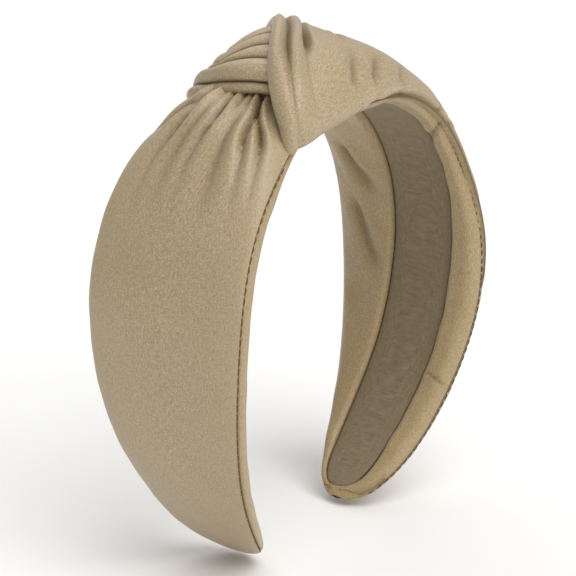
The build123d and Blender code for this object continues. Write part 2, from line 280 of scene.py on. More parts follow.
def face_out(piece: bpy.types.Object, hoop: Hoop, rise: float, reach: float = 0.0) -> None:
    """Turns a piece's faces away from a line that follows the hoop.

    Args:
        piece: The piece to turn.
        hoop: The curve that the line follows.
        rise: The line's rise.
        reach: The line's place along Y.
    """
    line = hoop.place(np.linspace(-hoop.lining_end, hoop.lining_end, 600), reach, rise)
    faces = piece.data.polygons
    centres, normals = np.zeros(len(faces) * 3), np.zeros(len(faces) * 3)
    faces.foreach_get("center", centres)
    faces.foreach_get("normal", normals)
    step = max(1, len(faces) // 400)
    centres, normals = centres.reshape(-1, 3)[::step], normals.reshape(-1, 3)[::step]
    nearest = line[np.argmin(((centres[:, None] - line[None]) ** 2).sum(2), axis=1)]
    if np.sum((centres - nearest) * normals) < 0:
        piece.data.flip_normals()


def merge_close(piece: bpy.types.Object, distance: float = 1e-5) -> None:
    """Joins points that lie on one another, which closes wraps and tips.

    Args:
        piece: The piece to close.
        distance: How close such points lie, in metres.
    """
    only(piece)
    bpy.ops.object.mode_set(mode="EDIT")
    bpy.ops.mesh.select_all(action="SELECT")
    bpy.ops.mesh.remove_doubles(threshold=distance)
    bpy.ops.object.mode_set(mode="OBJECT")


def thicken(piece: bpy.types.Object, thickness: float) -> None:
    """Gives cloth its thickness, inwards, and applies it.

    Args:
        piece: The cloth.
        thickness: Its thickness in millimetres.
    """
    only(piece)
    wall = piece.modifiers.new("cloth thickness", "SOLIDIFY")
    wall.thickness = thickness * MM
    wall.offset = -1
    wall.use_rim = True
    bpy.ops.object.modifier_apply(modifier=wall.name)


def smoothed(piece: bpy.types.Object, angle: float = 50.0) -> None:
    """Shades a piece smooth except at edges sharper than an angle in degrees."""
    only(piece)
    bpy.ops.object.shade_smooth_by_angle(angle=radians(angle))


def normals_of(points: np.ndarray) -> np.ndarray:
    """Gives unit normals for a grid of points.

    Args:
        points: The grid, as an array (rows, columns, 3).

    Returns:
        An array of the same shape.
    """
    along, across = np.gradient(points, axis=0), np.gradient(points, axis=1)
    normal = np.cross(along, across)
    return normal / np.maximum(np.linalg.norm(normal, axis=-1, keepdims=True), 1e-12)


def pushed(hoop: Hoop, points: np.ndarray, centre: np.ndarray, move: np.ndarray) -> np.ndarray:
    """Moves a grid of cloth along its normals, away from its middle.

    Args:
        hoop: The curve that the cloth follows.
        points: The grid in metres.
        centre: Arc, reach and rise of a point inside the cloth for each point.
        move: Moves in millimetres, outwards positive.

    Returns:
        The moved grid.
    """
    outward = normals_of(points)
    outward *= np.sign(np.sum(outward * (points - hoop.place(*centre))))
    return points + outward * (move * MM)[:, :, None]


# ---- padded tube ---------------------------------------------------------------------------------
@dataclass(frozen=True)
class TubeShape:
    """Sizes of the padded tube along one side, as (arc length, size) pairs.

    front and back are the seams' distances from the middle, thick is the height of the outer side, seam is
    the seams' rise and puff the rise of the inner puffs. lift is how far the front seam has rolled round to the
    outer side, and tuck how far it is drawn in.
    """

    front: Pairs
    back: Pairs
    thick: Pairs
    seam: Pairs
    puff: Pairs
    lift: Pairs = ((0, 0.0), (182, 0.0))
    tuck: Pairs = ((0, 0.0), (182, 0.0))
    fullness: float = 2.35
    start_rise: float = 0.4
    tuck_share: float = 0.09
    turn_share: float = 0.55
    puff_power: float = 0.9
    groove_roll: float = 2.2
    roll_share: float = 0.8

    def rolled(self, along: np.ndarray) -> tuple[np.ndarray, np.ndarray]:
        """Gives the front seam's lift and tuck at arc lengths."""
        return np.maximum(read(self.lift, along), 0), np.maximum(read(self.tuck, along), 0)

    def section(self, along: np.ndarray, share: np.ndarray) -> tuple[np.ndarray, np.ndarray]:
        """Gives the outer side of the tube.

        Args:
            along: Arc lengths without sign, as a column.
            share: Shares of the way from the front seam to the back one.

        Returns:
            Reach and rise of each point.
        """
        front, back = read(self.front, along)[:, None], read(self.back, along)[:, None]
        top = self.start_rise + read(self.thick, along)[:, None]
        level = read(self.seam, along)[:, None]
        lift, tuck = (roll[:, None] for roll in self.rolled(along))
        angle = np.pi * (lift + (1 - lift) * share[None, :])
        power = 2 / self.fullness
        across = np.sign(np.cos(angle)) * np.abs(np.cos(angle)) ** power
        reach = (back - front) / 2 - (back + front) / 2 * across
        rise = level + (top - level) * np.abs(np.sin(angle)) ** power
        return reach + tuck * eased(1 - share[None, :] / self.tuck_share), rise

    def half_path(self, edge: float, start: float, groove: float, level: float, puff: float,
                  floor: float) -> np.ndarray:
        """Gives one half of the tube's inner side, from its seam over the puff and down into the groove.

        Args:
            edge: Reach of the tube's edge.
            start: Reach of the seam.
            groove: Reach of the groove's side.
            level: Rise of the seam.
            puff: Rise of the puff.
            floor: Rise of the groove's floor.

        Returns:
            Reach and rise of each point, one row each.
        """
        turn = (1 - self.turn_share) * edge + self.turn_share * groove
        way = np.sign(groove - edge)
        angle = np.linspace(0, np.pi / 2, 14)
        roll = min(self.groove_roll, abs(groove - turn) * self.roll_share)
        outer = np.stack([turn + (start - turn) * np.cos(angle) ** self.puff_power,
                          level + (puff - level) * np.sin(angle) ** self.puff_power], 1)
        inner = np.stack([groove - way * roll + way * roll * np.sin(angle),
                          puff + roll * (1 - np.cos(angle))], 1)
        return np.vstack([outer, inner, [[groove, floor]]])

    def inner_path(self, along: np.ndarray, share: np.ndarray, wall: Callable[[np.ndarray], tuple],
                   floor: float) -> tuple[np.ndarray, np.ndarray]:
        """Gives the inner side of the tube: puff, groove for the lining, puff.

        Args:
            along: Arc lengths without sign.
            share: Shares of the way from the front seam to the back one.
            wall: Gives the groove's front and back sides at arc lengths.
            floor: Rise of the groove's floor.

        Returns:
            Reach and rise of each point.
        """
        front, back = read(self.front, along), read(self.back, along)
        level, puff = read(self.seam, along), read(self.puff, along)
        top, (lift, tuck) = self.start_rise + read(self.thick, along), self.rolled(along)
        sides, power = wall(along), 2 / self.fullness
        reach = np.zeros((len(along), len(share)))
        rise = np.zeros_like(reach)
        for r in range(len(along)):
            near = self.half_path(-front[r], tuck[r] - front[r], sides[0][r], level[r], puff[r], floor)
            far = self.half_path(back[r], back[r], sides[1][r], level[r], puff[r], floor)
            upper = np.linspace(lift[r], 0, 6)[:-1] * np.pi
            above = np.stack([(back[r] - front[r]) / 2 - (back[r] + front[r]) / 2 * np.cos(upper) ** power,
                              level[r] + (top[r] - level[r]) * np.sin(upper) ** power], 1)
            path = np.vstack([above, near, far[::-1]])
            steps = np.concatenate([[0], np.cumsum(np.maximum(np.hypot(*np.diff(path, axis=0).T), 1e-6))])
            reach[r] = np.interp(share * steps[-1], steps, path[:, 0])
            rise[r] = np.interp(share * steps[-1], steps, path[:, 1])
        return reach, rise


@dataclass(frozen=True)
class LiningShape:
    """Sizes of the lining sleeve with the spring strip inside it."""

    width: float = 21.5
    shift: Pairs = ((0, -5.2), (100, -5.4), (127, -3.8), (147, -1.2), (167, 0.6), (179, 1.2))
    taper: float = 60.0
    narrowing: float = 0.33
    narrow_power: float = 1.8
    round_power: float = 12.0
    fabric: float = 0.5
    thickness: float = 2.6
    glue: float = 0.4
    side_gap: float = 0.35

    def half_width(self, hoop: Hoop, along: np.ndarray, inset: float = 0.0) -> np.ndarray:
        """Gives half the strip's width, rounded off at the tip.

        Args:
            hoop: The curve that the strip follows.
            along: Arc lengths without sign.
            inset: How far the strip's edges are drawn in.

        Returns:
            Half the width at each arc length.
        """
        share = np.clip((along - (hoop.lining_end - inset - self.taper)) / self.taper, 0, 1)
        half = self.width / 2 * (1 - self.narrowing * share**self.narrow_power) - inset
        return half * np.sqrt(np.maximum(1 - share**self.round_power, 0))

    def middle(self, along: np.ndarray) -> np.ndarray:
        """Gives where the strip's middle lies along Y, without the sign of the arc length."""
        return read(self.shift, np.abs(along))


@dataclass
class PaddedCover:
    """One side of the padded satin tube: panel, facing with its groove, tip fold and seam stitches."""

    hoop: Hoop
    side: Side
    shape: TubeShape
    lining: LiningShape
    creases: tuple[Crease, ...]
    facing_creases: tuple[Crease, ...]
    start: float
    facing_start: float
    first_stitch: float
    satin: float = 0.7
    facing_satin: float = 0.8
    beyond: float = 3.0
    fold: float = 7.0
    round_off: float = 9.0
    rows: int = 270
    columns: int = 96
    guides: tuple[tuple[float, Places], ...] = ()
    guide_shares: tuple[float, ...] = ()
    lobes: Pairs = ()
    lobe_middle: float = 0.56
    join_arc: float = 26.0
    join_gap: float = 12.0
    join_overlap: float = 8.0
    seam_draw: float = 0.8
    pitch: float = 2.6
    stitch: float = 2.0
    thread: float = 0.15
    proud: float = 0.08

    @property
    def end(self) -> float:
        """Arc length where the tube ends, without sign."""
        return self.hoop.lining_end + self.beyond

    @property
    def joined(self) -> float:
        """Distance along the gathered cloth at which its last guide gives way to the plain tube."""
        return self.guides[-1][0] + self.join_gap

    def laid_out(self, u: np.ndarray) -> np.ndarray:
        """Gives distances along the gathered cloth, closer together in its folds."""
        return (self.joined + self.end - self.join_arc) * (0.5 * u + 0.5 * u**1.5)

    def tip(self, along: np.ndarray) -> np.ndarray:
        """Gives the share of its full width that the tube keeps near its rounded end."""
        share = np.clip((along - (self.end - self.round_off)) / self.round_off, 0, 1)
        return (1 - share**3) ** 0.42

    def softness(self, arc: np.ndarray, reach: np.ndarray) -> np.ndarray:
        """Gives the slow rise and fall of padded satin, in millimetres, at arc lengths and reaches."""
        a, y = arc / 10, reach / 10
        return (0.15 * np.sin(1.3 * a + 0.8 * y + 0.4) * np.cos(1.3 * y - 0.5 * a)
                + 0.07 * np.sin(2.9 * a - 2.1 * y + 1.0) + 0.04 * np.sin(5.3 * a + 4.4 * y))

    def panel_rows(self, u: np.ndarray, v: np.ndarray) -> tuple[np.ndarray, np.ndarray, np.ndarray]:
        """Lays out the panel, with any gathered start that its guides give.

        Args:
            u: Shares along the cut.
            v: Shares across it, from the front seam.

        Returns:
            Arc, reach and rise of each point.
        """
        if not self.guides:
            along = self.start + (self.end - self.start) * (0.55 * u + 0.45 * u**1.6)
            reach, rise = self.shape.section(along, v)
            return np.repeat((self.side.value * along)[:, None], len(v), 1), reach, rise
        place = self.laid_out(u)
        stations = [station for station, _ in self.guides]
        curves = [through(self.guide_shares, np.array(points), v) for _, points in self.guides]
        for more in (0, self.join_overlap, 2 * self.join_overlap):
            reach, rise = self.shape.section(np.array([self.join_arc + more]), v)
            stations.append(self.joined + more)
            curves.append(np.stack([np.full(len(v), self.join_arc + more), reach[0], rise[0]], 1))
        near = through(stations, np.array(curves), place)
        along = self.join_arc + np.maximum(place - self.joined, 0)
        reach, rise = self.shape.section(along, v)
        keep = (place < self.joined + self.join_overlap)[:, None]
        arc = np.where(keep, near[:, :, 0], np.repeat(along[:, None], len(v), 1))
        return arc, np.where(keep, near[:, :, 1], reach), np.where(keep, near[:, :, 2], rise)

    def lobe_push(self, u: np.ndarray, v: np.ndarray) -> tuple[np.ndarray, np.ndarray]:
        """Puffs the cloth up between its guides.

        Args:
            u: Shares along the cut.
            v: Shares across it.

        Returns:
            Outward moves in millimetres and strengths of the painted shade in the creases between lobes.
        """
        push = np.zeros((len(u), len(v)))
        crease = np.zeros_like(push)
        if not self.guides:
            return push, crease
        place = self.laid_out(u)
        stations = [station for station, _ in self.guides]
        upper = np.exp(-((v - self.lobe_middle) / 0.24) ** 2)
        for (low, high), (top, bottom) in zip(zip(stations, stations[1:]), self.lobes):
            f = np.clip((place - low) / (high - low), 0, 1)[:, None]
            inside = ((place >= low) & (place <= high))[:, None]
            height = ((bottom + (top - bottom) * upper) * off_edges(v, 0.1))[None, :]
            push += np.where(inside, height * np.abs(np.sin(np.pi * f)) ** 0.62, 0)
        # Painted shade in the creases where the lobes meet.
        for station, (top, _) in zip(stations[1:], self.lobes[1:]):
            along = np.exp(-((place[:, None] - station) / 0.9) ** 2)
            crease += 0.5 * top * along * np.exp(-((v - self.lobe_middle) / 0.2) ** 2)
        return push, np.clip(crease, 0, 1)

    def panel_shape(self, u: np.ndarray, v: np.ndarray) -> tuple[np.ndarray, np.ndarray]:
        """Shapes the outer panel.

        Args:
            u: Shares along the cut.
            v: Shares across it.

        Returns:
            Points in metres and strengths of the painted shade in creases and along the seams.
        """
        arc, reach, rise = self.panel_rows(u, v)
        narrow = self.tip(np.abs(arc))
        seam = read(self.shape.seam, (self.side.value * arc).ravel()).reshape(arc.shape)
        reach, rise = reach * narrow, seam + (rise - seam) * narrow
        push, painted_shade = self.lobe_push(u, v)
        edge = off_edges(v, 0.05)[None, :]
        push = push + self.softness(arc, reach) * edge * eased((self.end - np.abs(arc)) / 12)
        for crease in self.creases:
            move, strength = crease.push(arc, reach)
            push = push + move * np.maximum(edge, 0.35)
            # Each crease's groove also paints shade into the colour.
            painted_shade = np.maximum(painted_shade, strength * min(1, crease.depth / 1.4))
        push = push - self.seam_draw * near_edges(v, 0.022) ** 1.5
        # Painted shade along the seams at the panel's long edges.
        painted_shade = np.maximum(painted_shade, 0.9 * near_edges(v, 0.012))
        middle = (arc, reach * 0.2, np.full(arc.shape, 1.0))
        return pushed(self.hoop, self.hoop.place(arc, reach, rise), middle, push), painted_shade

    def panel(self) -> bpy.types.Object:
        """Makes the outer satin panel, over its foam."""
        piece = laid_grid(f"satin_panel_{self.side.word}", self.rows, self.columns, self.panel_shape,
                          ((self.end - self.start) * MM, 0.075))
        face_out(piece, self.hoop, 3)
        thicken(piece, self.satin)
        smoothed(piece)
        return piece

    def groove(self, along: np.ndarray) -> tuple[np.ndarray, np.ndarray]:
        """Works out the groove that takes the lining.

        Args:
            along: Arc lengths without sign.

        Returns:
            Reaches of its front and back sides.
        """
        half = self.lining.half_width(self.hoop, along) + self.lining.side_gap
        middle = self.lining.middle(along)
        return middle - half, middle + half

    def facing_shape(self, u: np.ndarray, v: np.ndarray) -> tuple[np.ndarray, np.ndarray]:
        """Shapes the inner facing.

        Args:
            u: Shares along the cut.
            v: Shares across it.

        Returns:
            Points in metres and crease strengths.
        """
        along = self.facing_start + (self.end - self.fold * 0.4 - self.facing_start) * u
        floor = self.lining.thickness + self.lining.glue
        reach, rise = self.shape.inner_path(along, v, self.groove, floor)
        narrow, seam = self.tip(np.abs(along))[:, None], read(self.shape.seam, along)[:, None]
        reach, rise = reach * narrow, seam + (rise - seam) * np.minimum(1, narrow + 0.25)
        arc = np.repeat((self.side.value * along)[:, None], len(v), 1)
        puffed = np.clip((self.lining.thickness * 0.6 - rise) / 2, 0, 1) * off_edges(v, 0.06)
        gather = 0.2 * np.sin(arc / 3.1 + reach / 5) * np.sin(arc / 7.3 + 1.1)
        gather = gather + self.softness(arc * 1.3, reach * 1.7)
        # Painted shade along the seams at the facing's long edges.
        painted_shade = near_edges(v, 0.012) * np.ones(arc.shape)
        pressed = np.zeros(arc.shape)
        for crease in self.facing_creases:
            move, strength = crease.push(arc, reach)
            pressed += move
            # Each crease's groove also paints shade into the colour.
            painted_shade = np.maximum(painted_shade, strength * 0.6)
        in_groove = np.abs(reach - self.lining.middle(along)[:, None]) < self.lining.width * 0.65
        # Painted shade in the groove that takes the lining.
        groove_shade = np.clip((rise - 0.2) / 1.6, 0, 1) * in_groove
        move = puffed * (gather * 0.8 + pressed) - self.seam_draw * near_edges(v, 0.03) ** 1.5
        middle = (arc, reach * 0.6, np.full(arc.shape, 6.0))
        points = pushed(self.hoop, self.hoop.place(arc, reach, rise), middle, move)
        return points, np.clip(np.maximum(painted_shade, 0.8 * groove_shade), 0, 1)

    def facing(self) -> bpy.types.Object:
        """Makes the inner facing, puffed round the groove."""
        piece = laid_grid(f"satin_facing_{self.side.word}", 210, 110, self.facing_shape,
                          ((self.end - self.start) * MM, 0.07))
        face_out(piece, self.hoop, 5)
        thicken(piece, self.satin * self.facing_satin)
        smoothed(piece)
        return piece

    def fold_shape(self, u: np.ndarray, v: np.ndarray) -> tuple[np.ndarray, None]:
        """Shapes the folded end of the tube, on its inner side.

        Args:
            u: Shares along the fold.
            v: Shares across it.

        Returns:
            Points in metres, and no painted shade.
        """
        along = self.end - self.fold - 1.0 + (self.fold + 0.7) * u
        narrow = self.tip(along)[:, None]
        front = read(self.shape.front, along)[:, None] * narrow - 0.2
        back = read(self.shape.back, along)[:, None] * narrow - 0.2
        level = read(self.shape.seam, along)[:, None]
        angle = np.pi * v[None, :]
        reach = (back - front) / 2 - (back + front) / 2 * np.cos(angle)
        low = 1.2 - 0.9 * eased(u * 1.4)[:, None]
        rise = level - 0.1 - (level - low) * np.sin(angle) ** 0.7 * np.maximum(narrow, 0.2)
        return self.hoop.place(self.side.value * np.repeat(along[:, None], len(v), 1), reach, rise), None

    def tip_fold(self) -> bpy.types.Object:
        """Makes the folded end, which the lining's tip lies on."""
        piece = laid_grid(f"tip_fold_{self.side.word}", 18, 36, self.fold_shape, (0.009, 0.02))
        face_out(piece, self.hoop, 6)
        thicken(piece, self.satin)
        smoothed(piece)
        return piece

    def seam_line(self, along: np.ndarray) -> tuple[np.ndarray, np.ndarray]:
        """Follows the front seam.

        Args:
            along: Arc lengths without sign.

        Returns:
            Its reaches and rises.
        """
        reach, rise = self.shape.section(along, np.array([0.0]))
        level = read(self.shape.seam, along)
        return reach[:, 0] * self.tip(along), level + (rise[:, 0] - level) * self.tip(along)

    def stitch_shape(self) -> tuple[np.ndarray, list[tuple[int, ...]]]:
        """Makes one stitch, lying along X with its two ends drawn down.

        Returns:
            Its points in millimetres and its faces.
        """
        bpy.ops.object.select_all(action="DESELECT")
        bpy.ops.mesh.primitive_cylinder_add(vertices=6, radius=self.thread, depth=self.stitch,
                                            rotation=(0, np.pi / 2, 0))
        model = bpy.context.active_object
        bpy.ops.object.transform_apply(location=False, rotation=True, scale=True)
        bpy.ops.object.mode_set(mode="EDIT")
        bpy.ops.mesh.select_all(action="SELECT")
        work = bmesh.from_edit_mesh(model.data)
        long_edges = [e for e in work.edges if abs(e.verts[0].co.x - e.verts[1].co.x) > self.thread]
        bmesh.ops.subdivide_edges(work, edges=long_edges, cuts=3)
        for vert in work.verts:
            share = abs(vert.co.x) / (self.stitch / 2)
            vert.co.z -= self.thread * 1.6 * share**3
            vert.co.y *= 1 - 0.35 * share**2
        bmesh.update_edit_mesh(model.data)
        bpy.ops.object.mode_set(mode="OBJECT")
        points = np.array([v.co for v in model.data.vertices])
        faces = [tuple(p.vertices) for p in model.data.polygons]
        bpy.data.objects.remove(model, do_unlink=True)
        return points, faces

    def stitch_places(self, points: np.ndarray) -> list[np.ndarray]:
        """Lays copies of a stitch along the front seam.

        Args:
            points: The stitch's points in millimetres, lying along X.

        Returns:
            The points of each copy in metres.
        """
        copies = []
        for along in np.arange(self.first_stitch, self.end - 4, self.pitch):
            span = np.array([along, along + self.stitch])
            ends = self.hoop.place(self.side.value * span, *self.seam_line(span))
            line = ends[1] - ends[0]
            line /= np.linalg.norm(line)
            out = np.array([0.0, -1.0, 0.0])
            out -= line * (out @ line)
            out /= np.linalg.norm(out)
            turn = np.stack([line, np.cross(out, line), out])
            copies.append(ends.mean(0) + out * self.proud * MM + points @ turn * MM)
        return copies

    def seam_stitches(self) -> bpy.types.Object:
        """Makes the stitches of this side's front seam, as one piece."""
        points, faces = self.stitch_shape()
        copies = self.stitch_places(points)
        all_faces = [tuple(k + n * len(points) for k in face) for n in range(len(copies)) for face in faces]
        name = f"seam_thread_{self.side.word}"
        mesh = bpy.data.meshes.new(name)
        mesh.from_pydata(np.vstack(copies).tolist(), [], all_faces)
        piece = bpy.data.objects.new(name, mesh)
        bpy.context.scene.collection.objects.link(piece)
        work = bmesh.new()
        work.from_mesh(mesh)
        bmesh.ops.recalc_face_normals(work, faces=work.faces)
        work.to_mesh(mesh)
        work.free()
        smoothed(piece, 60)
        return piece


@dataclass
class LiningSleeve:
    """One half of the lining sleeve, with the spring strip in it and the glue behind it."""

    hoop: Hoop
    side: Side
    shape: LiningShape

    def band(self, name: str, inset: float, low: float, high: float, end: float, corner: float,
             rows: int = 150, columns: int = 64) -> bpy.types.Object:
        """Makes a closed strip that follows the hoop.

        Args:
            name: The piece's name.
            inset: How far its edges lie inside the lining's.
            low: Rise of its inner face.
            high: Rise of its outer face.
            end: Arc length of its tip.
            corner: How square its section is, from 2 for an ellipse upwards.
            rows: Faces along it.
            columns: Faces round it.

        Returns:
            The piece.
        """
        def shape(u: np.ndarray, v: np.ndarray) -> tuple[np.ndarray, None]:
            """Lays the strip out.

            Args:
                u: Shares along it.
                v: Shares round it.

            Returns:
                Points in metres, and no painted shade.
            """
            along = 0.02 + (end - 0.02) * (1 - (1 - u) ** 1.25)
            closing = np.sqrt(np.clip((end - along) / 1.2, 0, 1))[:, None]
            half = np.maximum(self.shape.half_width(self.hoop, along, inset), 0)[:, None] * closing
            angle = 2 * np.pi * v[None, :]
            c, s = (np.sign(turn) * np.abs(turn) ** (2 / corner) for turn in (np.cos(angle), np.sin(angle)))
            reach = self.shape.middle(along)[:, None] + half * c
            rise = (low + high) / 2 + (high - low) / 2 * closing * s
            arc = np.repeat((self.side.value * along)[:, None], len(v), 1)
            return self.hoop.place(arc, reach, rise), None

        piece = laid_grid(name, rows, columns, shape, (end * MM, 2 * self.shape.width * MM))
        merge_close(piece)
        face_out(piece, self.hoop, (low + high) / 2, -3.0)
        return piece

    def sleeve(self) -> bpy.types.Object:
        """Makes the lining fabric round the spring strip."""
        piece = self.band(f"lining_sleeve_{self.side.word}", 0.0, 0.0, self.shape.thickness,
                          self.hoop.lining_end, 5.0)
        thicken(piece, self.shape.fabric)
        smoothed(piece, 60)
        return piece

    def core(self) -> bpy.types.Object:
        """Makes the spring strip."""
        low = self.shape.fabric + 0.1
        piece = self.band(f"spring_core_{self.side.word}", self.shape.fabric + 0.5, low,
                          self.shape.thickness - low, self.hoop.lining_end - 1.2, 9.0, 90, 32)
        smoothed(piece, 40)
        return piece

    def glue(self) -> bpy.types.Object:
        """Makes the dried glue between the sleeve and the groove."""
        low = self.shape.thickness + 0.05
        piece = self.band(f"glue_{self.side.word}", 1.6, low, low + self.shape.glue - 0.1,
                          self.hoop.lining_end - 2.5, 4.0, 90, 24)
        smoothed(piece, 40)
        return piece


# ---- knot ----------------------------------------------------------------------------------------
@dataclass
class KnotBundle:
    """The gathered satin that runs under the crossing strap, in soft rolls with creases between them."""

    hoop: Hoop
    shares: tuple[float, ...] = (0.0, 0.22, 0.42, 0.62, 0.84, 1.0)
    valleys: tuple[tuple[float, Places], ...] = (
        (0.0, ((-26.6, -12.4, 11), (-28.4, -5, 12.6), (-28.8, 3, 10.8), (-28.6, 12, 8), (-28, 20.5, 5.6),
               (-27.5, 22, 0.8))),
        (4.0, ((-26, -13, 15), (-28, -2.5, 15.8), (-27.6, 5, 14.2), (-27, 12, 11.8), (-26, 19.8, 8),
               (-25.5, 23, 0.8))),
        (11.0, ((-21, -8, 18.2), (-22.6, -1.5, 19), (-23.6, 5, 17.8), (-23.8, 11, 15), (-22.6, 18, 10),
                (-22, 22.5, 0.8))),
        (15.0, ((-16, -4, 19.4), (-18.4, 1.5, 19.8), (-20.6, 6, 18.4), (-22.2, 11, 15.6), (-20.6, 18, 10.5),
                (-19, 22.5, 0.8))),
        (20.0, ((-11, 0, 20), (-13.4, 3, 20.4), (-15.6, 7, 19.2), (-17, 12, 16), (-15, 18, 11),
                (-13, 22.5, 0.8))),
        (28.0, ((-3, 5, 17), (-5.5, 8, 17.5), (-7, 12, 15.5), (-7, 16, 12.5), (-6, 20, 8), (-5, 22.5, 0.8))),
        (38.0, ((6, 8, 14), (5, 10, 13), (5, 13, 12), (5, 16, 9), (6, 19, 6), (6, 20.5, 0.8))),
    )
    swells: tuple[float, ...] = (1.9, 2.1, 1.1, 1.2, 1.7, 1.2)
    satin: float = 0.7
    rows: int = 190
    columns: int = 130

    def shape(self, u: np.ndarray, v: np.ndarray) -> tuple[np.ndarray, np.ndarray]:
        """Shapes the rolls, which swell between the valleys.

        Args:
            u: Shares along the cut, across the rolls.
            v: Shares across it, from the front.

        Returns:
            Points in metres and strengths of the painted shade in the valleys between rolls.
        """
        stations = [station for station, _ in self.valleys]
        curves = np.array([through(self.shares, np.array(points), v) for _, points in self.valleys])
        place = u * stations[-1]
        rows = through(stations, curves, place)
        arc, reach, rise = rows[:, :, 0], rows[:, :, 1], rows[:, :, 2]
        push = np.zeros(arc.shape)
        painted_shade = np.zeros(arc.shape)
        ends = eased((1 - v) / 0.12)[None, :]
        for low, high, swell in zip(stations, stations[1:], self.swells):
            f = np.clip((place - low) / (high - low), 0, 1)[:, None]
            inside = ((place >= low) & (place <= high))[:, None]
            push += np.where(inside, swell * ends * np.abs(np.sin(np.pi * f)) ** 0.6, 0)
        # Painted shade in the valleys between the rolls.
        for station in stations[1:-1]:
            painted_shade += np.exp(-((place - station) / 0.5) ** 2)[:, None] * (1 - 0.4 * v[None, :])
        tuck = (1 - eased(v / 0.25))[None, :]
        puckers = 0.10 * np.sin(reach * 2.2 + place[:, None] * 0.7) * tuck
        push += 0.16 * tuck * np.sin(place[:, None] * 3.2) + puckers
        middle = (arc, reach * 0.2, np.full(arc.shape, 4.0))
        return pushed(self.hoop, self.hoop.place(arc, reach, rise), middle, push), np.clip(painted_shade, 0, 1)

    def rolls(self) -> bpy.types.Object:
        """Makes the rolls as one gathered cloth."""
        piece = laid_grid("knot_rolls", self.rows, self.columns, self.shape, (0.044, 0.042))
        face_out(piece, self.hoop, 6)
        thicken(piece, self.satin)
        smoothed(piece, 70)
        return piece


# ---- finishes ------------------------------------------------------------------------------------
def new_group(name: str, inputs: dict[str, float | tuple[float, ...]],
              outputs: dict[str, str]) -> tuple[bpy.types.NodeTree, bpy.types.Node, bpy.types.Node]:
    """Starts a shader node group.

    Args:
        name: The group's name.
        inputs: Socket names with their starting values: four numbers are a colour, three a vector.
        outputs: Socket names with their kinds, Color, Float or Vector.

    Returns:
        The group, its input node and its output node.
    """
    group = bpy.data.node_groups.new(name, "ShaderNodeTree")
    for key, value in inputs.items():
        kind = "NodeSocketFloat"
        if not isinstance(value, (int, float)):
            kind = "NodeSocketColor" if len(value) == 4 else "NodeSocketVector"
        socket = group.interface.new_socket(key, in_out="INPUT", socket_type=kind)
        socket.default_value = value
    for key, kind in outputs.items():
        group.interface.new_socket(key, in_out="OUTPUT", socket_type=f"NodeSocket{kind}")
    return group, group.nodes.new("NodeGroupInput"), group.nodes.new("NodeGroupOutput")


def math_node(tree: bpy.types.NodeTree, operation: str, a: object, b: object = 0.5,
              clamp: bool = False) -> bpy.types.NodeSocket:
    """Adds a math node.

    Args:
        tree: The tree to add it to.
        operation: Blender's name for the sum.
        a: First socket or number.
        b: Second socket or number.
        clamp: Whether the result stays from 0 to 1.

    Returns:
        The result's socket.
    """
    node = tree.nodes.new("ShaderNodeMath")
    node.operation, node.use_clamp = operation, clamp
    for socket, value in zip(node.inputs, (a, b)):
        if isinstance(value, (int, float)):
            socket.default_value = value
        else:
            tree.links.new(value, socket)
    return node.outputs[0]


def mix_colour(tree: bpy.types.NodeTree, factor: object, a: object, b: object) -> bpy.types.NodeSocket:
    """Adds a colour mix.

    Args:
        tree: The tree to add it to.
        factor: Share of the second colour, a socket or a number.
        a: First colour, or its socket.
        b: Second colour, or its socket.

    Returns:
        The result's socket.
    """
    node = tree.nodes.new("ShaderNodeMix")
    node.data_type = "RGBA"
    for socket, value in ((node.inputs[0], factor), (node.inputs[6], a), (node.inputs[7], b)):
        if isinstance(value, bpy.types.NodeSocket):
            tree.links.new(value, socket)
        else:
            socket.default_value = value
    return node.outputs[2]


def noise_node(tree: bpy.types.NodeTree, vector: object, scale: object, detail: float = 2.0,
               roughness: float = 0.5) -> bpy.types.NodeSocket:
    """Adds a noise texture.

    Args:
        tree: The tree to add it to.
        vector: The socket that places it.
        scale: Its scale, a socket or a number.
        detail: How many finer layers it has.
        roughness: How strong they are.

    Returns:
        The noise's value.
    """
    node = tree.nodes.new("ShaderNodeTexNoise")
    node.inputs["Detail"].default_value = detail
    node.inputs["Roughness"].default_value = roughness
    if isinstance(scale, (int, float)):
        node.inputs["Scale"].default_value = scale
    else:
        tree.links.new(scale, node.inputs["Scale"])
    tree.links.new(vector, node.inputs["Vector"])
    return node.outputs[0]


